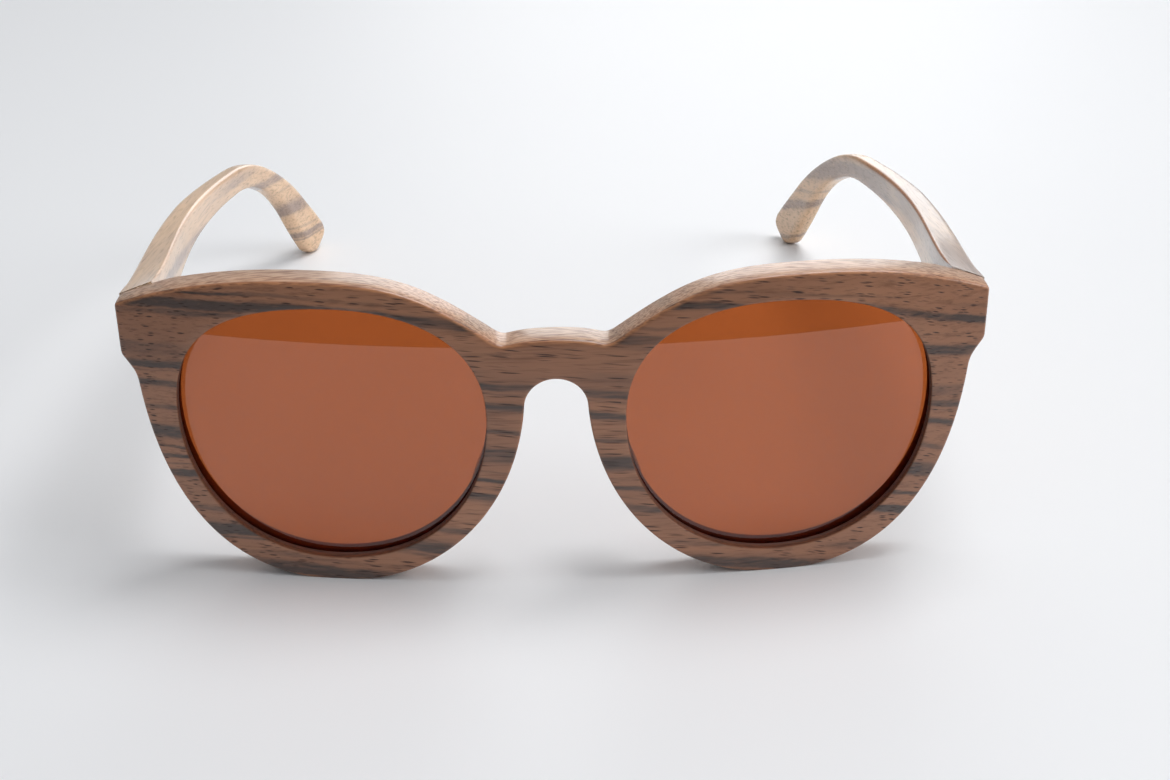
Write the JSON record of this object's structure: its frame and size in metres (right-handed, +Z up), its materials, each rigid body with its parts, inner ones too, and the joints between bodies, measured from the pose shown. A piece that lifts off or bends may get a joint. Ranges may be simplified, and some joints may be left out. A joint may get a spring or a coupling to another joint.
{
  "type": "sunglasses",
  "caption": "Wooden sunglasses: a bowed full-rim front with brown tinted lenses, an arched bridge between two notches, and temples that fold on metal hinges.",
  "frame": {"origin": "middle of the outer box at table level, with the open glasses standing on their rims and temple tips", "axes": "+X to the wearer's left, +Y back along the temples, +Z up from the table"},
  "size_m": [0.1504, 0.1546, 0.0536],
  "materials": {
    "wood": "oiled, satin, striped grain",
    "lens": "polished, copper brown tint",
    "hinge": "fine brushed",
    "screw": "turned, slotted"
  },
  "bodies": {
    "front": {"front_frame": "wood", "lens_right": "lens", "lens_left": "lens", "nose_pad_right": "wood", "nose_pad_left": "wood", "front_hinge_leaf_right": "hinge", "front_hinge_leaf_left": "hinge", "front_leaf_screws_right": "screw", "front_leaf_screws_left": "screw", "hinge_screw_right": "screw", "hinge_screw_left": "screw"},
    "temple_right": {"temple_right": "wood", "temple_hinge_leaf_right": "hinge", "temple_leaf_screws_right": "screw"},
    "temple_left": {"temple_left": "wood", "temple_hinge_leaf_left": "hinge", "temple_leaf_screws_left": "screw"}
  },
  "joints": [
    {"name": "temple_right_fold", "type": "hinge", "parent": "front", "child": "temple_right", "pos_m": [-0.06445, -0.06145, 0.04351], "axis": [0, -0.0609, -0.9981], "range_deg": [0, 73]},
    {"name": "temple_left_fold", "type": "hinge", "parent": "front", "child": "temple_left", "pos_m": [0.06445, -0.06145, 0.04351], "axis": [0, 0.0609, 0.9981], "range_deg": [0, 88]}
  ]
}
